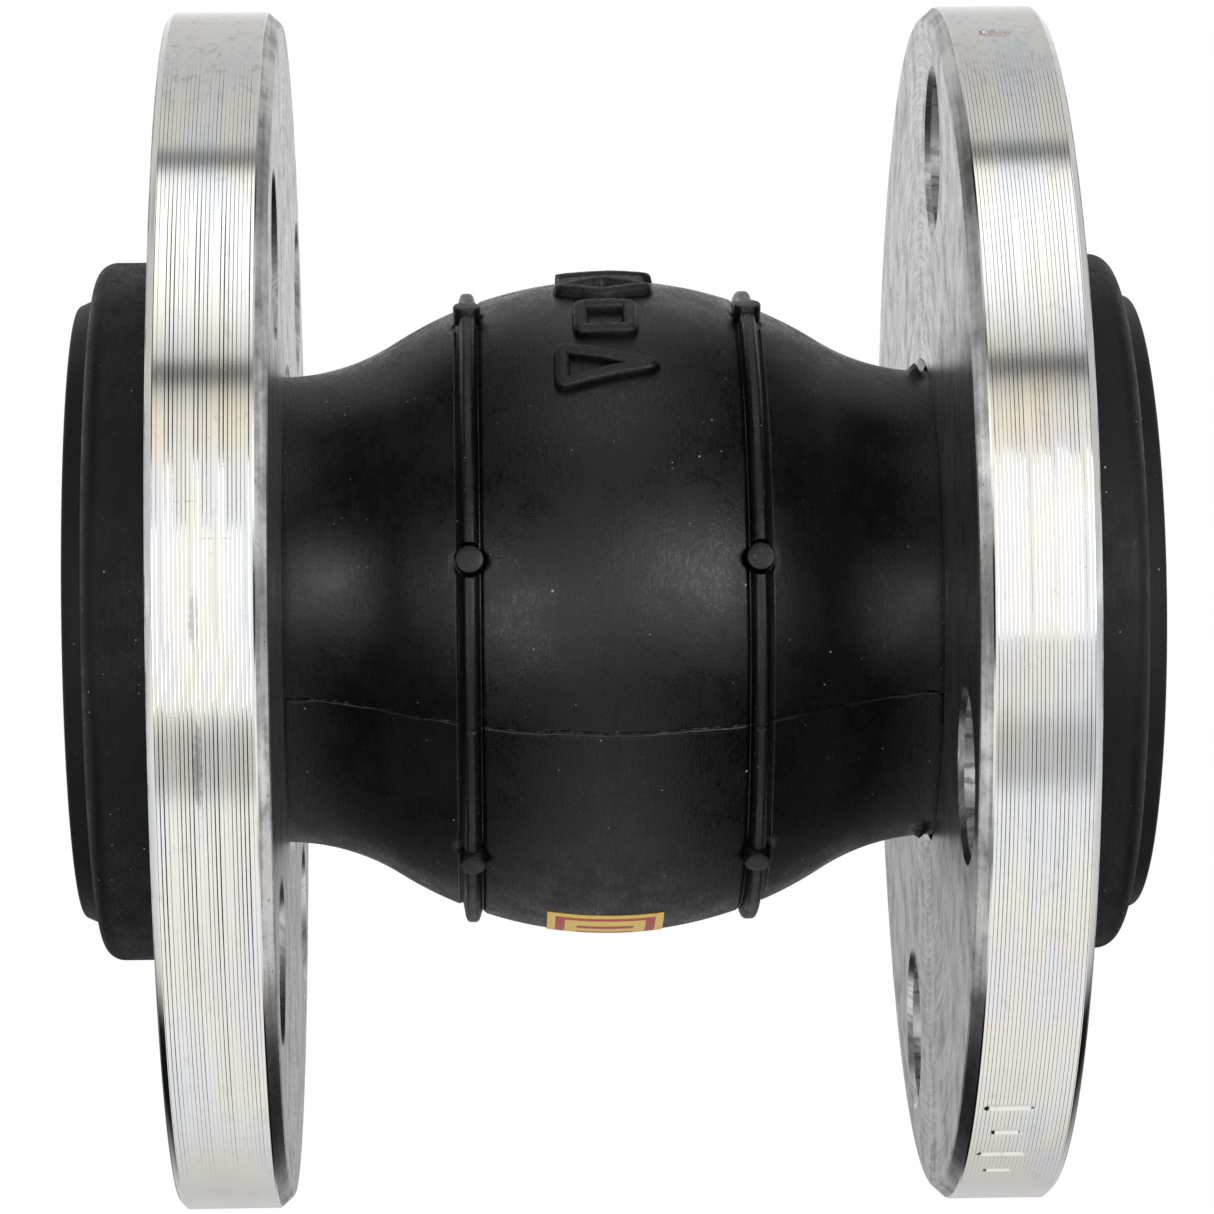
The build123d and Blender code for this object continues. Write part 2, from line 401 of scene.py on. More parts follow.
def mark_strokes():
    """Four plain shapes, as strokes: a triangle, a square, a diamond and an open chevron."""
    half_l = (MARK_LENGTH - MARK_STROKE) / 2
    half_w = (MARK_WIDTH - MARK_STROKE) / 2
    triangle = run((-half_l, -half_w), (half_l, 0), (-half_l, half_w))
    square = run((-half_w, -half_w), (half_w, -half_w), (half_w, half_w), (-half_w, half_w))
    diamond = run((-half_l, 0), (0, -half_w), (half_l, 0), (0, half_w))
    chevron = run((-half_l, -half_w), (half_l, 0), (-half_l, half_w))
    return (triangle, True), (square, True), (diamond, True), (chevron, False)


def parting_relief(x, angle):
    """The thin uneven crack and flash where the two halves of the mould met."""
    height = np.zeros_like(x)
    for seed, centre in enumerate((PARTING, PARTING + 180)):
        v = CROWN_R * np.radians(turned_by(angle, centre)) + 0.16 * wander(x, 11 + seed, 1.7)
        near = np.abs(v) < 6
        crack = 0.13 + 0.06 * wander(x, 21 + seed, 0.6)
        flash = np.clip(0.05 + 0.06 * wander(x, 31 + seed, 0.8), 0, 1)
        line = -crack * np.exp(-((v / 0.12) ** 2)) + flash * np.exp(-(((v + 0.3) / 0.16) ** 2))
        height = height + np.where(near, line + 0.04 * step_up(-np.abs(v + 2.5), -2.5, -2.4), 0)
    return height


def nibs_relief(x, angle):
    """Small torn lips of rubber on the right neck, against the flange."""
    height = np.zeros_like(x)
    for centre, reach, tall in NIBS:
        along = np.exp(-(((x - NIB_X) / 0.5) ** 2))
        around = turned_by(angle, centre) / reach
        height = height + tall * along * np.exp(-around**4) * (1 + 0.25 * wander(angle, 91, 1.5))
    return height


def cover_relief(x, radius, angle):
    """All moulded relief of the cover's outer surface."""
    wall = wall_radius(x)
    outer = (np.abs(radius - wall) < 0.02) & (np.abs(x) < FLANGE_IN)
    ribs = ribs_relief(x, angle, wall)
    round_boss = bosses_relief(x, angle)
    height = (ribs * (1 - round_boss) - 0.25 * round_boss) * (np.abs(x) < SPLIT_X + 1)
    height = height + parting_relief(x, angle) + nibs_relief(x, angle)
    height = height + 0.03 * wander(x + 0.05 * angle, 5, 3.0) * wander(angle, 7, 25.0)
    return np.where(outer, height, 0)


# ---- rubber pieces

def mirrored(outline, side):
    """The outline on the asked side."""
    return outline * np.array([1 if side == "right" else -1, 1])


def cord_run(depth, from_x):
    """A cord line from from_x on the neck: up the collar, over the bead and down behind it."""
    reach = depth - COVER_T
    heel = arc((HEEL_X, HEEL_R), HEEL_ARC + reach, -90, 90, 0.4)
    hoop = arc((BEAD_X, BEAD_R), BEAD_SEAT + reach, 0, 180, 0.4)
    tail = run((BEAD_X - BEAD_SEAT - reach, TURN_UP_R + PLAY))
    return join(wall_run(from_x, HEEL_X, depth, 1.0), heel, hoop, tail)


def collar_run():
    """The outside of the cover from the neck's flare, round the collar, to the foot of the sealing ring."""
    flare = arc((COLLAR_IN - NECK_FLARE, NECK_R + NECK_FLARE), NECK_FLARE, -90, 90, 0.3)
    heel = arc((COLLAR_IN + COLLAR_HEEL, COLLAR_R - COLLAR_HEEL), COLLAR_HEEL, 180, -90, 0.15)
    edge = arc((COLLAR_OUT - COLLAR_EDGE, COLLAR_R - COLLAR_EDGE), COLLAR_EDGE, 90, -90, 0.15)
    groove = run((COLLAR_OUT, SEAT_R + 0.12), (COLLAR_OUT - 0.15, SEAT_R))
    return split_long(join(flare, heel, edge, groove), 0.5)


def cover_end_outline():
    """The cover outside the ribs on the right: neck and collar, with the room for the layers inside."""
    reach = BEAD_SEAT + TUBE_DEPTH - COVER_T + PLAY
    rim_angle = degrees(np.arcsin((SEAT_R - BEAD_R) / reach))
    hoop = arc((BEAD_X, BEAD_R), reach, rim_angle, 180 - rim_angle)
    fold = run((BEAD_X - reach, TURN_UP_R), (BEAD_X - BEAD_SEAT, TURN_UP_R))
    heel = arc((HEEL_X, HEEL_R), HEEL_ARC, -45, -45)
    neck = wall_run(SPLIT_X, COLLAR_IN - NECK_FLARE, 0, 0.3)
    return join(neck, collar_run(), hoop, fold, heel, wall_run(HEEL_X, SPLIT_X, COVER_T, 1.0))


def cover_middle_outline():
    """The cover between the splits, finer where the ribs stand."""
    fine = np.arange(RIB_X - RIB_HALF_W - 0.6, SPLIT_X, 0.09)
    plain = np.arange(-fine[0], fine[0], 0.3)
    x = np.sort(np.concatenate(([-SPLIT_X, SPLIT_X], fine, -fine, plain)))
    return join(np.column_stack((x, wall_radius(x))), wall_run(SPLIT_X, -SPLIT_X, COVER_T, 1.0))


def detail_windows():
    """Where the rows have to be fine: at the parting lines and the bosses."""
    parting = [(centre - 1.6, centre + 1.2, 0.14) for centre in (PARTING, PARTING + 180)]
    bosses = []
    for index in range(BOSS_COUNT):
        centre = turned_by(BOSS_PHASE + index * BOSS_STEP, 0)
        bosses.append((centre - 3.4, centre + 3.4, 0.25))
    return parting, bosses


def cover_pieces():
    """The outer cover: the sphere between the ribs, and a neck with its collar each side."""
    parting, bosses = detail_windows()
    skin_rows = rows(bosses + parting, COVER_ROWS)
    middle = lathe("sphere_skin", cover_middle_outline(), skin_rows, cover_relief)
    ends = {}
    for side in ("left", "right"):
        outline = mirrored(cover_end_outline(), side)
        nibs = [(centre - 7, centre + 7, 0.5) for centre, *_ in NIBS if side == "right"]
        end_rows = rows(parting + nibs, COVER_ROWS)
        ends[side] = lathe(f"{side}_neck_and_collar", outline, end_rows, cover_relief)
    return {"middle": middle, **ends}


def tube_end_outline():
    """The liner outside the splits on the right, with its raised sealing ring."""
    reach = BEAD_SEAT + TUBE_DEPTH - COVER_T
    rim_r = SEAT_R - PLAY
    rim_angle = degrees(np.arcsin((rim_r - BEAD_R) / reach))
    outside = join(wall_run(SPLIT_X, HEEL_X, TUBE_DEPTH, 1.0),
                   arc((HEEL_X, HEEL_R), HEEL_ARC + TUBE_DEPTH - COVER_T, -90, 90),
                   arc((BEAD_X, BEAD_R), reach, 0, rim_angle))
    bevel = arc((FACE_X - 0.5, SEAT_TOP_R - 0.5), 0.5, 60, -60, 0.12)
    ring = split_long(join(run((COLLAR_OUT - 0.15, rim_r), (COLLAR_OUT, rim_r - 0.1)), bevel), 0.5)
    face = split_long(run(ring[-1], (FACE_X, BORE_R + SEAT_LIP)), 0.7)
    lip = arc((FACE_X - SEAT_LIP, BORE_R + SEAT_LIP), SEAT_LIP, 0, -90, 0.2)
    return join(outside, ring, face, lip, wall_run(FACE_X - SEAT_LIP, SPLIT_X, WALL_T, 0.7))


def layer_pieces(name, end_outline, outer, inner):
    """A layer of the wall in three pieces: between the splits, and one each side."""
    middle = join(wall_run(-SPLIT_X, SPLIT_X, outer, 1.0), wall_run(SPLIT_X, -SPLIT_X, inner, 1.0))
    angles = rows(coarse=LAYER_ROWS)
    pieces = {"middle": lathe(f"{name}_middle", middle, angles)}
    for side in ("left", "right"):
        pieces[side] = lathe(f"{side}_{name}", mirrored(end_outline, side), angles)
    return pieces


def ply_pieces(index):
    """One ply of cord cloth."""
    outer = SHELL_DEPTH + index * PLY_T
    inner = outer + PLY_T
    end = join(cord_run(outer, SPLIT_X), cord_run(inner, SPLIT_X)[::-1])
    return layer_pieces(f"cord_ply_{index + 1}", end, outer, inner)


# ---- flanges

def flange_outline():
    """The right flange: a flat ring with a recess for the collar and turned grooves on its rim."""
    lip_x = RECESS_X - FLANGE_LIP
    lip = arc((lip_x, FLANGE_BORE_R + FLANGE_LIP), FLANGE_LIP, -90, 90, 0.5)
    pitch = (FLANGE_OUT - FLANGE_IN - EDGE_IN - EDGE_OUT) / GROOVES
    turns = np.arange(GROOVES)[:, None] + np.array(GROOVE_PLACES)
    depth = np.tile(GROOVE_DEPTHS, (GROOVES, 1)) * GROOVE_DEPTH
    grooves = np.column_stack((FLANGE_IN + EDGE_IN + turns.ravel() * pitch, FLANGE_R - depth.ravel()))
    edge_in = run((FLANGE_IN, FLANGE_R - EDGE_IN), (FLANGE_IN + 0.12, FLANGE_R - EDGE_IN + 0.2),
                  (FLANGE_IN + EDGE_IN - 0.15, FLANGE_R - 0.14))
    edge_out = run((FLANGE_OUT - EDGE_OUT, FLANGE_R), (FLANGE_OUT - 0.12, FLANGE_R - EDGE_OUT + 0.15),
                   (FLANGE_OUT, FLANGE_R - EDGE_OUT))
    inside = run((FLANGE_OUT, RECESS_R + 0.4), (FLANGE_OUT - 0.4, RECESS_R), (RECESS_X, RECESS_R))
    bore = run((FLANGE_IN + EDGE_OUT, FLANGE_BORE_R), (FLANGE_IN, FLANGE_BORE_R + EDGE_OUT))
    return join(edge_in, grooves, edge_out, inside, lip[::-1], bore)


def punch_marks(x, angle):
    """How deep the plain punch marks are: four bars low on the right rim, and a knock near its top."""
    v = FLANGE_R * np.radians(turned_by(angle, PUNCH_ANGLE))
    away = np.full_like(v, 9.0)
    for height, reach in PUNCH_BARS:
        away = np.minimum(away, stroke_distance(x - PUNCH_X, v, ((-reach, height), (reach, height))))
    knock_v = FLANGE_R * np.radians(turned_by(angle, KNOCK[1]))
    knock = np.hypot((x - KNOCK[0]) / KNOCK_HALF[0], knock_v / KNOCK_HALF[1])
    knock = knock + 0.2 * wander(x * 2 + angle * 3, 61)
    return PUNCH_DEPTH * step_up(-away, -0.5, -0.05) + KNOCK_DEPTH * step_up(-knock, -1.0, -0.35)


def rim_relief(side):
    """Small dents of the rim, so that the turned grooves aren't perfect."""
    def relief(x, radius, angle):
        on_rim = radius > FLANGE_R - 0.05
        worn = 0.003 * wander(angle, 41 if side == "left" else 42, 9.0) * wander(x, 43, 0.5) - 0.003
        groove = FLANGE_R - radius
        filled = np.clip(0.1 - 1.6 * wander(x, 44, 0.35) * wander(angle, 45, 22.0), -1.0, 0.85)
        if side == "right":
            pressed = punch_marks(x, angle)
            filled = np.maximum(filled, step_up(pressed, 0.0, 0.04))
            worn = worn - pressed
        return np.where(on_rim, worn + groove * filled, 0)
    return relief


def hole_cutter(phase):
    """Four bolt holes with broken edges, to be cut from a right flange."""
    mesh = bmesh.new()
    past = 2
    wide = BOLT_HOLE_R + HOLE_CHAMFER + past
    outline = ((FLANGE_IN - past, wide), (FLANGE_IN + HOLE_CHAMFER, BOLT_HOLE_R),
               (FLANGE_OUT - HOLE_CHAMFER, BOLT_HOLE_R), (FLANGE_OUT + past, wide))
    for hole in range(4):
        turn = radians(phase + 90 * hole)
        y, z = -BOLT_CIRCLE_R * cos(turn), BOLT_CIRCLE_R * sin(turn)
        add_solid(mesh, [[(x, y + radius * cos(a), z + radius * sin(a)) for a in circle(HOLE_SIDES)]
                         for x, radius in outline])
    return linked("hole_cutter", outward_mesh(mesh, bpy.data.meshes.new("hole_cutter")))


def crisp_grooves(ring):
    """Keeps the edges of the turned grooves crisp, though their slopes are slight."""
    for edge in ring.data.edges:
        a, b = (ring.data.vertices[k].co / MM for k in edge.vertices)
        if abs(a.x - b.x) < 0.001 and min(np.hypot(a.y, a.z), np.hypot(b.y, b.z)) > FLANGE_R - 0.05:
            edge.use_edge_sharp = True


def flange_piece(side):
    """One flange with its four holes."""
    windows = []
    if side == "right":
        windows = [(PUNCH_ANGLE - 9, PUNCH_ANGLE + 9, 0.2), (KNOCK[1] - 2, KNOCK[1] + 2, 0.2)]
    piece = lathe(f"{side}_flange_ring", flange_outline(), rows(windows, RIM_ROWS), rim_relief(side))
    cutter = hole_cutter(PHASES[side])
    cut = piece.modifiers.new("holes", "BOOLEAN")
    cut.operation = "DIFFERENCE"
    cut.object = cutter
    cut.solver = "EXACT"
    applied(piece)
    bpy.data.objects.remove(cutter)
    if side == "left":
        for vertex in piece.data.vertices:
            vertex.co.x = -vertex.co.x
        piece.data.flip_normals()
    return piece


# ---- node trees

class Value:
    """A number that varies over a surface. Maths on it adds Math nodes to its tree."""

    def __init__(self, look, socket):
        self.look = look
        self.socket = socket

    def __neg__(self):
        return self * -1.0

    def __abs__(self):
        return self.look.math("ABSOLUTE", self)


def add_operator(name, operation):
    """Gives Value an operator and its reflected form."""
    setattr(Value, f"__{name}__", lambda value, other: value.look.math(operation, value, other))
    setattr(Value, f"__r{name}__", lambda value, other: value.look.math(operation, other, value))


for name, operation in (("add", "ADD"), ("sub", "SUBTRACT"), ("mul", "MULTIPLY"), ("truediv", "DIVIDE"),
                        ("pow", "POWER")):
    add_operator(name, operation)


class Look:
    """A node tree that is being filled."""

    def __init__(self, tree):
        self.tree = tree

    def node(self, kind, settings=None, values=None):
        """A new node with its settings, then the values or links of its sockets."""
        made = self.tree.nodes.new(kind)
        for name, setting in (settings or {}).items():
            if name == "stops":
                self.set_stops(made.color_ramp, setting)
            else:
                setattr(made, name, setting)
        for socket, value in (values or {}).items():
            self.feed(made.inputs[socket], value)
        return made

    def set_stops(self, ramp, stops):
        """Fills a ramp from (place, colour) pairs."""
        while len(ramp.elements) < len(stops):
            ramp.elements.new(0.5)
        for element, (place, color) in zip(ramp.elements, stops):
            element.position = place
            element.color = (*color, 1)

    def feed(self, socket, value):
        """A link for a value that varies, or the socket's own number or colour."""
        if isinstance(value, Value):
            value = value.socket
        if isinstance(value, bpy.types.NodeSocket):
            self.tree.links.new(value, socket)
        else:
            socket.default_value = value

    def math(self, operation, *numbers):
        made = self.node("ShaderNodeMath", {"operation": operation}, dict(enumerate(numbers)))
        return Value(self, made.outputs[0])

    def between(self, value, low, high):
        """0 at low, 1 at high, smooth between. low may be above high."""
        made = self.node("ShaderNodeMapRange", {"interpolation_type": "SMOOTHSTEP"},
                         {"Value": value, "From Min": low, "From Max": high})
        return Value(self, made.outputs[0])

    def vector(self, x, y, z):
        return self.node("ShaderNodeCombineXYZ", values={0: x, 1: y, 2: z}).outputs[0]

    def noise(self, vector, scale=1.0, detail=3.0, rough=0.5):
        """Uneven cloud between 0 and 1."""
        made = self.node("ShaderNodeTexNoise", {"noise_dimensions": "3D"},
                         {"Vector": vector, "Scale": scale, "Detail": detail, "Roughness": rough})
        return Value(self, made.outputs["Fac"])

    def mix(self, factor, first, second):
        """A colour between two colours."""
        made = self.node("ShaderNodeMix", {"data_type": "RGBA"}, {0: factor, 6: first, 7: second})
        return made.outputs[2]

    def bump(self, height, distance, strength=1.0, normal=None):
        """A normal from a height in units of distance millimetres."""
        values = {"Height": height, "Distance": distance * MM, "Strength": strength}
        if normal is not None:
            values["Normal"] = normal
        return self.node("ShaderNodeBump", values=values).outputs[0]


class Finish(Look):
    """A material, with the coordinates of a piece that is round about the pipe axis."""

    def __init__(self, name, metallic=0.0, specular=0.5):
        self.material = bpy.data.materials.new(name)
        self.material.use_nodes = True
        super().__init__(self.material.node_tree)
        self.shader = self.tree.nodes["Principled BSDF"]
        self.shader.inputs["Metallic"].default_value = metallic
        self.shader.inputs["Specular IOR Level"].default_value = specular
        place = self.node("ShaderNodeTexCoord").outputs["Object"]
        self.place = self.node("ShaderNodeVectorMath", {"operation": "SCALE"},
                               {"Vector": place, "Scale": 1 / MM}).outputs[0]
        parts = self.node("ShaderNodeSeparateXYZ", values={0: self.place})
        self.x, self.y, self.z = (Value(self, socket) for socket in parts.outputs)
        self.radius = (self.y * self.y + self.z * self.z) ** 0.5
        self.turn = self.math("ARCTAN2", self.z, -self.y) * degrees(1)

    def cloud(self, scale, detail=3.0, rough=0.5):
        """Uneven cloud between 0 and 1, the same in every direction."""
        return self.noise(self.place, scale, detail, rough)

    def specks(self, scale, radius, share):
        """Small spots: 1 inside, in this share of the cells."""
        made = self.node("ShaderNodeTexVoronoi", {"voronoi_dimensions": "3D"},
                         {"Vector": self.place, "Scale": scale})
        parts = self.node("ShaderNodeSeparateColor", values={0: made.outputs["Color"]})
        size = Value(self, parts.outputs[1]) * 0.6 + 0.4
        inside = self.between(Value(self, made.outputs["Distance"]) / size, radius, radius * 0.6)
        return inside * self.math("LESS_THAN", Value(self, parts.outputs[0]), share)

    def round_axis(self, along, around):
        """A vector for patterns drawn out round the axis: along is per millimetre, around is per turn."""
        return self.vector(self.x * along, self.y / self.radius * around, self.z / self.radius * around)

    def spot(self, x, turn, half_x, half_turn, ragged=0.0):
        """1 in the middle of an oval spot at this place, 0 outside it."""
        away_x = (self.x - x) / half_x
        away_turn = (self.turn - turn) / half_turn
        away = away_x * away_x + away_turn * away_turn
        if ragged:
            away = away + (self.cloud(1.6) - 0.5) * ragged
        return self.between(away, 1.0, 0.2)

    def done(self, color, roughness, normal=None):
        """Feeds the shader and gives the material."""
        self.feed(self.shader.inputs["Base Color"], color)
        self.feed(self.shader.inputs["Roughness"], roughness)
        if normal is not None:
            self.feed(self.shader.inputs["Normal"], normal)
        return self.material


def grey(value, warm=0.0):
    """A grey, or a slightly warm one."""
    return (value * (1 + warm), value, value * (1 - warm), 1)


# ---- finishes

def cover_rubber():
    """Black moulded rubber, rubbed round the axis, with dust, bloom, scuffs and worn raised marks."""
    look = Finish("moulded_black_rubber", specular=0.46)
    cloud = look.between(look.cloud(0.3, 5, 0.62), 0.36, 0.64)
    streaks = look.between(look.noise(look.round_axis(4.6, 17.0), 1.0, 4, 0.7), 0.34, 0.68)
    fine = look.noise(look.round_axis(9.0, 34.0), 1.0, 3, 0.7)
    grain = look.between(look.cloud(2.6, 5, 0.75), 0.34, 0.66)
    sphere = look.between(abs(look.x), 9.0, 8.0)
    collar = look.between(abs(look.x), 34.0, 35.5)
    proud = look.between(look.radius - CROWN_R, 0.25, 0.8) * sphere
    worn = proud * look.between(look.cloud(2.2, 4, 0.7), 0.36, 0.58)
    dusty = look.between(look.cloud(0.35, 5, 0.65), 0.56, 0.76)
    upper = look.between(look.turn, 42.0, 66.0) * look.between(look.turn, 150.0, 110.0)
    waist = look.between(look.radius, 27.5, 24.5) * upper
    bloom = waist * look.between(look.cloud(5.0, 4, 0.75), 0.44, 0.62)
    under = look.between(look.turn, -34.0, -62.0)
    dust = look.specks(0.55, 0.075, 0.28) + look.specks(1.4, 0.11, 0.09)
    dust = dust + look.specks(1.05, 0.1, 0.3) * collar * look.between(look.x, 0.0, -1.0)
    by_rib = look.between(abs(abs(look.x) - RIB_X), 1.6, 1.0)
    dust = dust + look.specks(2.1, 0.16, 0.22) * by_rib * 0.6
    scuff = look.between(look.noise(look.round_axis(1.6, 40.0), 1.0, 2), 0.7, 0.76) * dusty
    smear = look.spot(*SMEAR)
    rub = look.spot(*RUB)
    color = look.mix(cloud, (0.001, 0.001, 0.0009, 1), (0.0026, 0.0027, 0.003, 1))
    color = look.mix(streaks * (0.08 + dusty * 0.4) + grain * 0.08, color, grey(0.0085, -0.08))
    color = look.mix(worn * 0.85, color, grey(0.03, 0.05))
    color = look.mix(bloom * 0.75, color, grey(0.07))
    color = look.mix((scuff + rub) * 0.5, color, grey(0.06))
    color = look.mix(dust, color, grey(0.42, 0.02))
    neck = look.between(abs(look.x), 15.0, 20.0) * (1 - collar)
    rough = 0.17 + streaks * 0.1 + cloud * 0.12 + grain * 0.1 + worn * 0.3 + dust * 0.3
    rough = rough + under * 0.14 + bloom * 0.2 + collar * 0.24 - neck * 0.07 - smear * 0.15
    height = streaks * 0.3 + fine * 0.5 + grain * 0.5 + bloom * 1.2
    return look.done(color, rough, look.bump(height, 0.018))


def tube_rubber():
    """The smoother, greyer rubber of the liner and its sealing rings."""
    look = Finish("liner_rubber", specular=0.4)
    cloud = look.cloud(0.3, 4, 0.6)
    rings = look.noise(look.round_axis(6.0, 6.0), 1.0, 2)
    dust = look.specks(0.9, 0.1, 0.25)
    color = look.mix(cloud, grey(0.004), grey(0.012))
    color = look.mix(dust, color, grey(0.3, 0.02))
    rough = 0.42 + cloud * 0.16 + rings * 0.06
    return look.done(color, rough, look.bump(look.cloud(5.0, 3), 0.05))


def filler_rubber():
    """Plain matt rubber of the bead filler."""
    look = Finish("bead_filler_rubber", specular=0.35)
    cloud = look.cloud(1.2, 4)
    return look.done(look.mix(cloud, grey(0.012), grey(0.03)), 0.6 + cloud * 0.2, look.bump(cloud, 0.08))


def cord_cloth():
    """Square woven nylon cord, soaked in brown dip."""
    look = Finish("dipped_nylon_cord", specular=0.3)
    warp = look.math("SINE", look.x * 6.5)
    weft = look.math("SINE", look.turn * 2.4)
    weave = abs(warp) * 0.5 + abs(weft) * 0.5
    cloud = look.cloud(0.8, 3)
    color = look.mix(weave, (0.08, 0.045, 0.02, 1), (0.42, 0.3, 0.16, 1))
    color = look.mix(cloud * 0.5, color, (0.05, 0.03, 0.02, 1))
    return look.done(color, 0.75 - weave * 0.15, look.bump(weave, 0.12))


def bead_wire():
    """Brass plated steel wire."""
    look = Finish("brass_plated_wire", metallic=1.0)
    drawn = look.noise(look.round_axis(12.0, 14.0), 1.0, 3)
    stain = look.between(look.cloud(0.9, 3), 0.5, 0.75)
    color = look.mix(drawn, (0.62, 0.44, 0.2, 1), (0.86, 0.68, 0.38, 1))
    color = look.mix(stain * 0.7, color, (0.18, 0.12, 0.08, 1))
    return look.done(color, 0.25 + stain * 0.3 + drawn * 0.1)


# tints of the zinc's passive film
FILM_STOPS = ((0.32, (0.82, 0.85, 0.87)), (0.42, (0.88, 0.88, 0.86)), (0.5, (0.9, 0.88, 0.8)),
              (0.57, (0.89, 0.85, 0.81)), (0.66, (0.84, 0.85, 0.87)))


def zinc_tint(look):
    """Zinc plate with the faint yellow, pink and blue of its passive film."""
    film = look.noise(look.round_axis(0.16, 2.6), 1.0, 2)
    bands = look.node("ShaderNodeValToRGB", {"stops": FILM_STOPS}, {"Fac": film})
    return bands.outputs[0]


def turned_zinc():
    """The rim: turned, then plated, with dull smudges, fine scratches and a nick."""
    look = Finish("turned_zinc_plate", metallic=1.0)
    grime = look.between(look.noise(look.round_axis(0.8, 26.0), 1.0, 4, 0.65), 0.56, 0.74)
    cloud = look.cloud(0.12, 3)
    pits = look.specks(1.1, 0.1, 0.16)
    lines = look.noise(look.round_axis(16.0, 3.0), 1.0, 2)
    smudge = look.spot(*SMUDGES[0]) * 0.7 + look.spot(*SMUDGES[1])
    broken = look.between(look.cloud(1.3, 2), 0.5, 0.56)
    scratch = (look.spot(*SCRATCHES[0]) + look.spot(*SCRATCHES[1])) * broken
    nick = look.spot(*KNOCK, 1.9, 1.5, 0.8)
    color = zinc_tint(look)
    dull = look.between(look.turn, 48.0, 58.0) * look.between(look.turn, 150.0, 125.0)
    blotch = look.between(look.noise(look.round_axis(1.3, 34.0), 1.0, 5, 0.7), 0.5, 0.72) * dull
    color = look.mix(grime * 0.2 + dull * 0.12, color, grey(0.5))
    color = look.mix(blotch * 0.45, color, grey(0.26))
    color = look.mix(smudge * 0.5 + scratch * 0.25, color, grey(0.14))
    color = look.mix(pits * 0.5, color, grey(0.2))
    color = look.mix(nick * 0.35, color, (0.78, 0.55, 0.45, 1))
    rough = 0.05 + cloud * 0.05 + grime * 0.1 + lines * 0.05 + nick * 0.2
    height = lines * 0.5 + look.cloud(6.0, 3) * 0.5
    return look.done(color, rough, look.bump(height, 0.003))


def plain_zinc():
    """The flat faces: plated over rolled plate, mottled, with pores and handling marks."""
    look = Finish("mottled_zinc_plate", metallic=1.0)
    look.shader.inputs["Specular Tint"].default_value = grey(0.72)
    cloud = look.cloud(0.25, 5, 0.65)
    turned = look.vector(look.radius * 3.0, look.y / look.radius * 5.0, look.z / look.radius * 5.0)
    swirl = look.noise(turned, 1.0, 3)
    pores = look.specks(1.3, 0.15, 0.22) + look.specks(0.5, 0.1, 0.2)
    scar = look.between(abs(look.radius - SCAR_R + (look.cloud(0.5, 3) - 0.5) * 5.0), 0.5, 0.1)
    scar = scar * look.between(look.cloud(1.4, 4, 0.7), 0.5, 0.62)
    scar = scar * look.between(look.turn, 8.0, 14.0)
    mottle = look.between(cloud * 0.55 + swirl * 0.45, 0.4, 0.62)
    color = look.mix(mottle, grey(0.95, 0.01), grey(0.5, 0.01))
    color = look.mix(look.between(cloud, 0.54, 0.7) * 0.5, color, grey(0.26))
    color = look.mix(pores * 0.6, color, grey(0.14))
    color = look.mix(scar * 0.6, color, grey(0.1))
    rough = 0.18 + cloud * 0.14 + swirl * 0.08 + pores * 0.2
    height = cloud * 0.4 + swirl * 0.3 + look.cloud(3.0, 4) * 0.3 - pores * 0.5 - scar * 0.5
    return look.done(color, rough, look.bump(height, 0.024))


def drilled_zinc():
    """Hole walls: drilled marks under thin plate."""
    look = Finish("drilled_zinc_plate", metallic=1.0)
    tool = look.noise(look.vector(look.x * 12.0, look.y * 1.6, look.z * 1.6), 1.0, 5, 0.65)
    drawn = look.vector(look.x * 0.4, look.y * 1.2, look.z * 1.2)
    stain = look.between(look.noise(drawn, 1.0, 4), 0.5, 0.62)
    color = look.mix(tool, grey(0.5), grey(0.85))
    color = look.mix(stain * 0.65, color, grey(0.1))
    return look.done(color, 0.3 + tool * 0.2, look.bump(tool, 0.06))


def sticker():
    """A yellow paper sticker with a red frame and plain bars."""
    look = Finish("yellow_sticker", specular=0.5)
    middle, half = sum(LABEL_X) / 2, (LABEL_X[1] - LABEL_X[0]) / 2
    middle_turn, half_turn = sum(LABEL_ANGLES) / 2, (LABEL_ANGLES[1] - LABEL_ANGLES[0]) / 2
    across = half - abs(look.x - middle)
    along = half_turn * radians(CROWN_R) - abs((look.turn - middle_turn) * radians(CROWN_R))
    edge = look.math("MINIMUM", across, along)
    frame_line = look.between(edge, 0.7, 0.76) * look.between(edge, 1.62, 1.56)
    inner = look.between(edge, 2.1, 2.16)
    bars = look.between(look.math("SINE", look.turn * 1.05), 0.25, 0.4)
    bars = bars * look.between(abs(look.x - middle), 2.6, 2.5)
    stain = look.cloud(1.1, 4, 0.6)
    color = look.mix(stain, (0.78, 0.5, 0.06, 1), (0.9, 0.66, 0.16, 1))
    color = look.mix(frame_line, color, (0.5, 0.035, 0.03, 1))
    color = look.mix(inner * bars, color, (0.45, 0.03, 0.03, 1))
    color = look.mix(look.between(stain, 0.62, 0.8) * 0.4, color, (0.2, 0.13, 0.06, 1))
    return look.done(color, 0.38 + stain * 0.15, look.bump(look.cloud(6.0, 2), 0.03))


RUBBER = cover_rubber()
LINER = tube_rubber()
FILLER = filler_rubber()
CLOTH = cord_cloth()
WIRE = bead_wire()
RIM = turned_zinc()
FACE = plain_zinc()
HOLE = drilled_zinc()
STICKER = sticker()


# ---- repeated pieces

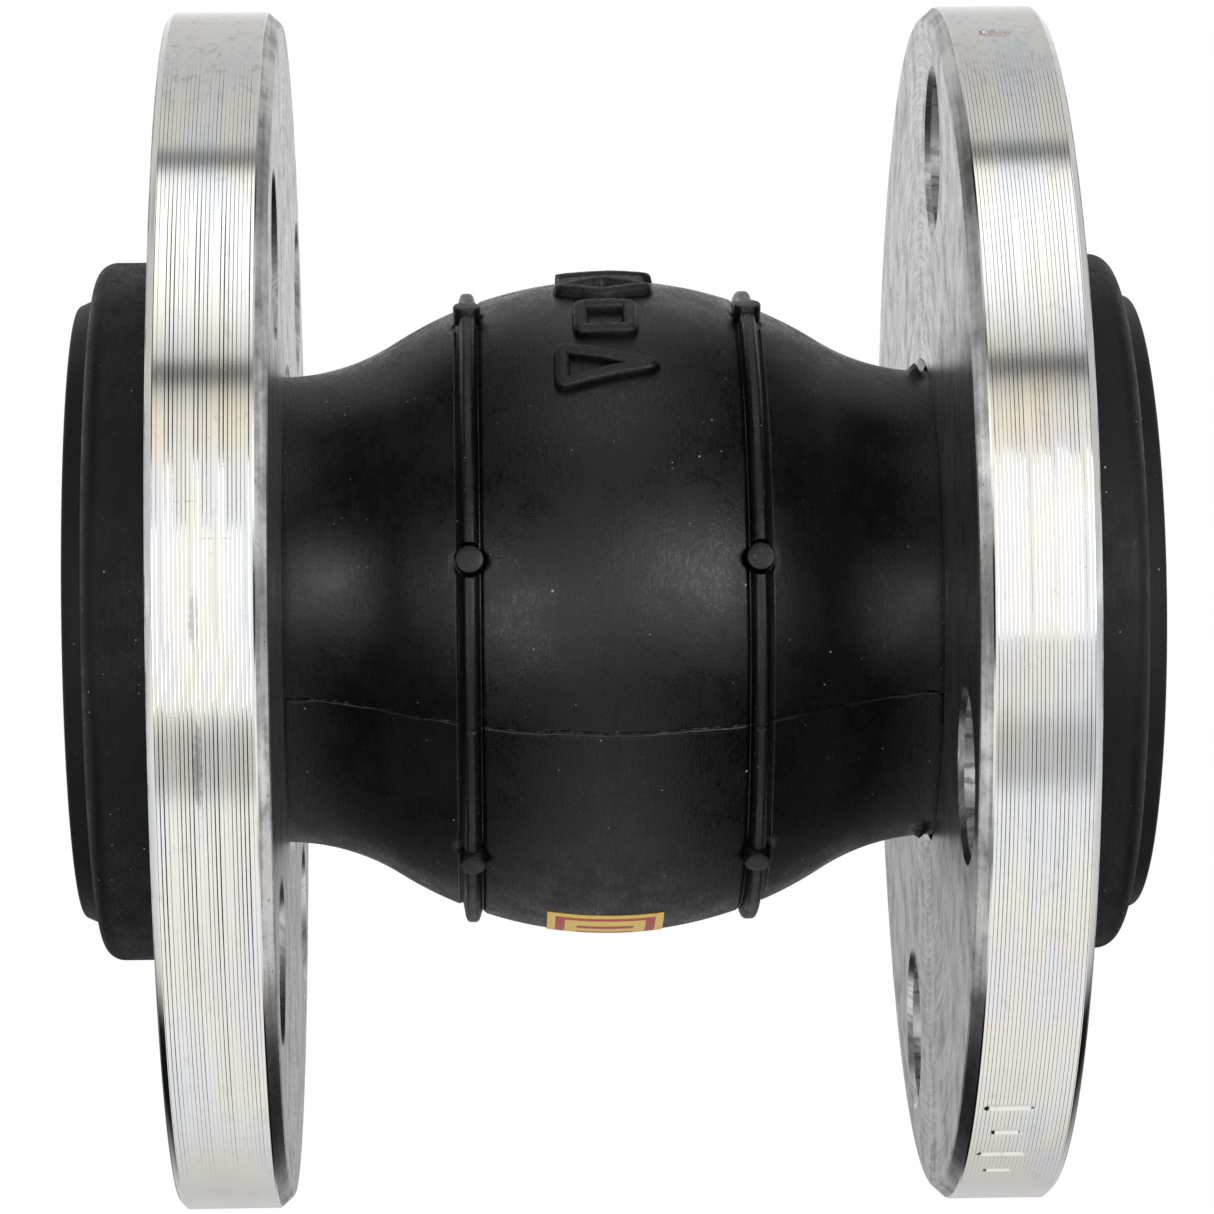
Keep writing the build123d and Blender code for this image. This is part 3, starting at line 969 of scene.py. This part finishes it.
def new_tree(name, sizes):
    """An empty Geometry Nodes tree with named inputs: numbers, whole numbers and a material."""
    tree = bpy.data.node_groups.new(name, "GeometryNodeTree")
    kinds = {float: "NodeSocketFloat", int: "NodeSocketInt"}
    tree.interface.new_socket("Geometry", in_out="INPUT", socket_type="NodeSocketGeometry")
    for key, value in sizes.items():
        tree.interface.new_socket(key, in_out="INPUT", socket_type=kinds[type(value)])
    tree.interface.new_socket("Finish", in_out="INPUT", socket_type="NodeSocketMaterial")
    tree.interface.new_socket("Geometry", in_out="OUTPUT", socket_type="NodeSocketGeometry")
    return tree


def finish_tree(look, given, shape):
    """Ends a tree: real geometry, with its material."""
    real = look.node("GeometryNodeRealizeInstances", values={0: shape})
    coated = look.node("GeometryNodeSetMaterial", values={
        "Geometry": real.outputs[0], "Material": given["Finish"]})
    out = look.node("NodeGroupOutput")
    look.tree.links.new(coated.outputs[0], out.inputs[0])


def ring_tree(sizes):
    """Copies of the given mesh, turned round the pipe axis in equal steps."""
    look = Look(new_tree("ring_of_copies", sizes))
    given = look.node("NodeGroupInput").outputs
    points = look.node("GeometryNodePoints", values={"Count": given["Count"]})
    index = look.node("GeometryNodeInputIndex")
    turned = look.math("MULTIPLY_ADD", index.outputs[0], given["Step"], given["Start"])
    copies = look.node("GeometryNodeInstanceOnPoints", values={
        "Points": points.outputs[0], "Instance": given["Geometry"],
        "Rotation": look.vector(turned, 0.0, 0.0)})
    finish_tree(look, given, copies.outputs[0])
    return look.tree


def hoops_tree(sizes):
    """A bundle of wire hoops round the pipe axis: one in the middle and the others round it."""
    look = Look(new_tree("bundle_of_hoops", sizes))
    given = look.node("NodeGroupInput").outputs

    def ring(points, radius):
        return look.node("GeometryNodeCurvePrimitiveCircle", values={
            "Resolution": points, "Radius": radius})

    around = ring(given["Wires"], given["Pitch"])
    places = look.node("GeometryNodeCurveToPoints", {"mode": "EVALUATED"}, {"Curve": around.outputs[0]})
    middle = look.node("GeometryNodePoints", values={"Count": 1})
    both = look.node("GeometryNodeJoinGeometry", values={0: places.outputs[0]})
    look.tree.links.new(middle.outputs[0], both.inputs[0])
    wire = ring(WIRE_SIDES, given["Wire radius"])
    section = look.node("GeometryNodeInstanceOnPoints", values={
        "Points": both.outputs[0], "Instance": wire.outputs[0]})
    section = look.node("GeometryNodeRealizeInstances", values={0: section.outputs[0]})
    hoop = ring(HOOP_SIDES, given["Radius"])
    upright = look.node("GeometryNodeTransform", values={
        "Geometry": hoop.outputs[0], "Rotation": (0.0, radians(90), 0.0),
        "Translation": look.vector(given["Place"], 0.0, 0.0)})
    swept = look.node("GeometryNodeCurveToMesh", values={
        "Curve": upright.outputs[0], "Profile Curve": section.outputs[0]})
    finish_tree(look, given, swept.outputs[0])
    return look.tree


def grown(name, mesh, tree, finish, sizes):
    """A plain mesh from a Geometry Nodes tree, with its inputs set by identifier."""
    piece = linked(name, mesh)
    live = piece.modifiers.new("nodes", "NODES")
    live.node_group = tree
    given = {item.name: item.identifier for item in tree.interface.items_tree if item.in_out == "INPUT"}
    for key, value in sizes.items():
        live[given[key]] = value
    live[given["Finish"]] = finish
    applied(piece)
    return piece


def boss_mesh(side):
    """One flat round boss at angle 0 of the ribs, its edge slightly broken."""
    mesh = bmesh.new()
    outline = ((BOSS_R, -1.6), (BOSS_R, -0.14), (BOSS_R - 0.05, -0.04), (BOSS_R - 0.16, 0.0),
               (BOSS_R * 0.5, 0.02))
    add_solid(mesh, [[(side * RIB_X + radius * cos(a), -(BOSS_TOP_R + height), radius * sin(a))
                      for a in circle(BOSS_SIDES)] for radius, height in outline])
    return outward_mesh(mesh, bpy.data.meshes.new("boss"))


def mark_piece(index, line, closed):
    """One raised mark: a rounded stroke swept along its line on the crown, its foot sunk in the skin."""
    line = rounded(line, MARK_CORNER, closed)
    along = np.roll(line, -1, axis=0) - line
    if not closed:
        along[-1] = along[-2]
    along /= np.linalg.norm(along, axis=1)[:, None]
    before = np.roll(along, 1, axis=0)
    if not closed:
        before[0] = along[0]
    middle = along + before
    middle /= np.linalg.norm(middle, axis=1)[:, None]
    normal = np.column_stack((-middle[:, 1], middle[:, 0])) / np.sum(middle * along, axis=1)[:, None]
    half = np.array(MARK_SIDE)
    section = np.vstack((half, ((0, MARK_H),), half[::-1] * (-1, 1)))
    count = len(line) if closed else len(line) - 1
    corners = line[:, None, :] + normal[:, None, :] * section[None, :, :1]
    rings = []
    for k in range(count):
        after = (k + 1) % len(line)
        steps = max(1, int(np.linalg.norm(line[after] - line[k]) / 0.4))
        for t in np.arange(steps) / steps:
            rings.append(corners[k] * (1 - t) + corners[after] * t)
    if not closed:
        rings.append(corners[-1])
    flat = np.array(rings)
    n, m = flat.shape[:2]
    x = MARK_X + flat[:, :, 0]
    v = flat[:, :, 1]
    height = section[None, :, 1]
    height = height + 0.03 * wander(x * 1.3 + v, 71 + index, 0.7) * (height > 0.4)
    angle = MARK_START + index * MARK_STEP + np.degrees(v / CROWN_R)
    points = around_axis(x, wall_radius(x) + height, angle)
    loops = n if closed else n - 1
    faces = [(k * m + c, (k + 1) % n * m + c, (k + 1) % n * m + (c + 1) % m, k * m + (c + 1) % m)
             for k in range(loops) for c in range(m)]
    if not closed:
        faces += [tuple(range(m)), tuple((n - 1) * m + c for c in reversed(range(m)))]
    piece = mesh_object(f"raised_mark_{index + 1}", points.reshape(-1, 3), faces)
    outwards(piece)
    return smooth(piece, MARK_CREASE)


def label_piece():
    """The sticker: a thin patch that lies on the crown, its edges a little lifted."""
    x = np.linspace(*LABEL_X, LABEL_GRID[0])
    angle = np.linspace(*LABEL_ANGLES, LABEL_GRID[1])
    x, angle = np.meshgrid(x, angle, indexing="ij")
    edge = np.minimum(x - LABEL_X[0], LABEL_X[1] - x)
    lift = 0.04 + 0.02 * wander(x + angle * 0.3, 51, 1.5) + 0.03 * (edge < 0.4)
    wall = wall_radius(x)
    low = around_axis(x, wall + 0.005, angle).reshape(-1, 3)
    high = around_axis(x, wall + (LABEL_T + lift) * 0.5, angle).reshape(-1, 3)
    n, m = x.shape
    i, j = np.meshgrid(np.arange(n - 1), np.arange(m - 1), indexing="ij")
    top = np.stack((i * m + j, (i + 1) * m + j, (i + 1) * m + j + 1, i * m + j + 1), axis=-1).reshape(-1, 4)
    loop = [*range(m - 1), *range(m - 1, n * m - 1, m),
            *range(n * m - 1, (n - 1) * m, -1), *range((n - 1) * m, 0, -m)]
    skirt = [(a, b, b + n * m, a + n * m) for a, b in zip(loop, loop[1:] + loop[:1])]
    faces = top[:, ::-1].tolist() + (top + n * m).tolist() + skirt
    piece = mesh_object("sticker", np.vstack((low, high)), faces)
    outwards(piece)
    return piece


# ---- fitting the pieces to the bodies

def finish_layer(pieces, node, material):
    """Bakes a wall layer's three pieces in place, hides the part it stands for, and gives them smooth
    shading and a material.
    """
    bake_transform(pieces["left"])
    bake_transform(pieces["middle"])
    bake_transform(pieces["right"])
    for piece in pieces.values():
        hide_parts(node)
        smooth(piece).data.materials.append(material)


def lie_on_crown(piece, material):
    """A piece that lies on the crown: gives it its material and bakes its place."""
    piece.data.materials.append(material)
    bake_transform(piece)


def finish_flange(ring, side):
    """Gives the rim, the faces and the hole walls their own finishes."""
    for material in (FACE, RIM, HOLE):
        ring.data.materials.append(material)
    for face in ring.data.polygons:
        centre = face.center / MM
        radius = np.hypot(centre.y, centre.z)
        if radius > FLANGE_R - 0.35:
            face.material_index = 1
        elif abs(face.normal.x) < 0.3 and abs(radius - BOLT_CIRCLE_R) < BOLT_HOLE_R + 1:
            face.material_index = 2
    crisp_grooves(smooth(ring, RIM_CREASE))
    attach(ring, f"{side}_flange")
    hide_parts(f"{side}_flange")


finish_layer(cover_pieces(), "outer_cover", RUBBER)
liner = layer_pieces("liner", tube_end_outline(), TUBE_DEPTH, WALL_T)
finish_layer(liner, "inner_tube", LINER)
for index in range(PLY_COUNT):
    finish_layer(ply_pieces(index), f"cord_ply_{index + 1}", CLOTH)

for index, (line, closed) in enumerate(mark_strokes()):
    lie_on_crown(mark_piece(index, line, closed), RUBBER)
patch = smooth(label_piece())
lie_on_crown(patch, STICKER)
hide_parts("label")

boss_sizes = {"Count": BOSS_COUNT, "Step": -radians(BOSS_STEP), "Start": -radians(BOSS_PHASE)}
boss_ring = ring_tree(boss_sizes)
hoop_sizes = {"Wires": WIRES_AROUND, "Pitch": WIRE_PITCH * MM, "Wire radius": WIRE_R * MM,
              "Radius": BEAD_R * MM, "Place": 0.0}
hoop_bundle = hoops_tree(hoop_sizes)
for side, sign in (("left", -1), ("right", 1)):
    bosses = grown(f"{side}_rib_bosses", boss_mesh(sign), boss_ring, RUBBER, boss_sizes)
    smooth(bosses)
    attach(bosses, f"{side}_half")
    hoop_sizes["Place"] = sign * BEAD_X * MM
    hoops = grown(f"{side}_wire_hoops", bpy.data.meshes.new("hoops"), hoop_bundle, WIRE, hoop_sizes)
    smooth(hoops)
    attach(hoops, f"{side}_end")
    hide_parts(f"{side}_bead_wires")
    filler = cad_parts[f"{side}_bead_filler"]
    for place in filler.material_slots:
        place.material = FILLER
    finish_flange(flange_piece(side), side)

# ---- camera, floor, light

CAMERA_AWAY = 0.4783
CAMERA_TURN = radians(-1.55)
CAMERA_ROLL = radians(0.64)
CAMERA_DROP = 0.00007
SENSOR = 36
LENS = 155.8

FLOOR_SIDE = 4.0
FLOOR_FRONT = -4.0
FLOOR_BACK = 1.2
FLOOR_Z = -0.2


def camera():
    """A long lens level with the pipe axis, a touch to the left."""
    data = bpy.data.cameras.new("camera")
    data.sensor_width = SENSOR
    data.lens = LENS
    view = linked("camera", data)
    view.location = (sin(CAMERA_TURN) * CAMERA_AWAY, -cos(CAMERA_TURN) * CAMERA_AWAY, -CAMERA_DROP)
    view.rotation_euler = (radians(90), CAMERA_ROLL, CAMERA_TURN)
    bpy.context.scene.camera = view


# brightness of the studio round the pipe axis: from behind, under the joint, to the front, and over it
STUDIO_TURN = (
    (-180, 0.58), (-171, 0.58), (-160, 0.62), (-148, 0.58), (-128, 0.68), (-110, 0.84), (-85, 0.94),
    (-37, 0.98), (-32, 0.6), (-24, 0.6), (-19, 0.88), (-12, 0.92), (-2, 0.98), (18, 1.02), (36, 0.92),
    (41, 0.62), (43, 0.18), (46, 0.18), (48, 0.7), (56, 1.05), (66, 1.25), (79, 1.3), (89, 1.05),
    (92, 0.22), (95, 0.24), (98, 0.66), (125, 0.58), (155, 0.66), (168, 0.9), (180, 0.95))

# patches with a light of their own: turn from and to, side from and to, brightness, softness of the edge
STUDIO_PATCHES = ((-26.0, 26.0, -55.0, -38.0, 0.24, 7.0), (-20.0, 30.0, 40.0, 55.0, 0.24, 7.0),
                  (-19.0, 15.0, -38.0, -20.0, 4.4, 6.0), (-5.0, 28.0, 22.0, 40.0, 7.5, 6.0))


def studio():
    """A studio: a band of light round the axis, dark gaps beside it, and soft boxes in the gaps."""
    world = bpy.data.worlds.new("studio")
    bpy.context.scene.world = world
    world.use_nodes = True
    look = Look(world.node_tree)
    toward = look.node("ShaderNodeTexCoord").outputs["Generated"]
    parts = look.node("ShaderNodeSeparateXYZ", values={0: toward})
    x, y, z = (Value(look, socket) for socket in parts.outputs)
    turn = look.math("ARCTAN2", z, -y) * degrees(1)
    side = look.math("ARCSINE", x) * degrees(1)
    stops = [((place + 180) / 360, (value,) * 3) for place, value in STUDIO_TURN]
    base = look.node("ShaderNodeValToRGB", {"stops": stops}, {"Fac": (turn + 180) / 360})
    base = Value(look, look.node("ShaderNodeRGBToBW", values={0: base.outputs[0]}).outputs[0])
    flank = look.between(abs(side), 60.0, 70.0) * look.between(abs(turn), 28.0, 45.0)
    back = look.between(abs(side), 45.0, 54.0) * look.between(abs(turn), 88.0, 101.0)
    flank = look.math("MAXIMUM", flank, back)
    ends = look.between(turn, 140.0, 118.0) * look.between(turn, -165.0, -145.0)
    gap = look.between(abs(side), 9.0, 19.0) * ends * (1 - flank)
    light = base * (1 - gap * 0.99)
    for low_turn, high_turn, low_side, high_side, value, soft in STUDIO_PATCHES:
        inside = look.between(turn, low_turn - soft / 2, low_turn + soft / 2)
        inside = inside * look.between(turn, high_turn + soft / 2, high_turn - soft / 2)
        inside = inside * look.between(side, low_side - soft, low_side + soft)
        inside = inside * look.between(side, high_side + soft, high_side - soft)
        light = light * (1 - inside) + inside * value
    seen = look.node("ShaderNodeLightPath").outputs["Is Camera Ray"]
    warm = look.between(turn, 27.0, 33.0) * look.between(turn, 43.0, 40.0)
    tinted = look.node("ShaderNodeCombineColor", values={
        0: light, 1: light * (1 - warm * 0.06), 2: light * (1 - warm * 0.16)})
    color = look.mix(seen, tinted.outputs[0], grey(1.0))
    look.feed(world.node_tree.nodes["Background"].inputs["Color"], color)


def floor():
    """A plain pale floor below the joint, which ends before it would show behind it in a level view."""
    corners = ((-1, FLOOR_FRONT), (1, FLOOR_FRONT), (1, FLOOR_BACK), (-1, FLOOR_BACK))
    mesh = bpy.data.meshes.new("floor")
    mesh.from_pydata([(side * FLOOR_SIDE, y, FLOOR_Z) for side, y in corners], [], [(0, 1, 2, 3)])
    ground = linked("floor", mesh)
    look = Finish("pale_floor", specular=0.2)
    look.shader.inputs["Emission Color"].default_value = grey(1.0)
    look.shader.inputs["Emission Strength"].default_value = 0.45
    mesh.materials.append(look.done(grey(0.8), 0.8))
    ground.visible_glossy = False


camera()
studio()
floor()
bpy.context.scene.view_settings.view_transform = "Standard"
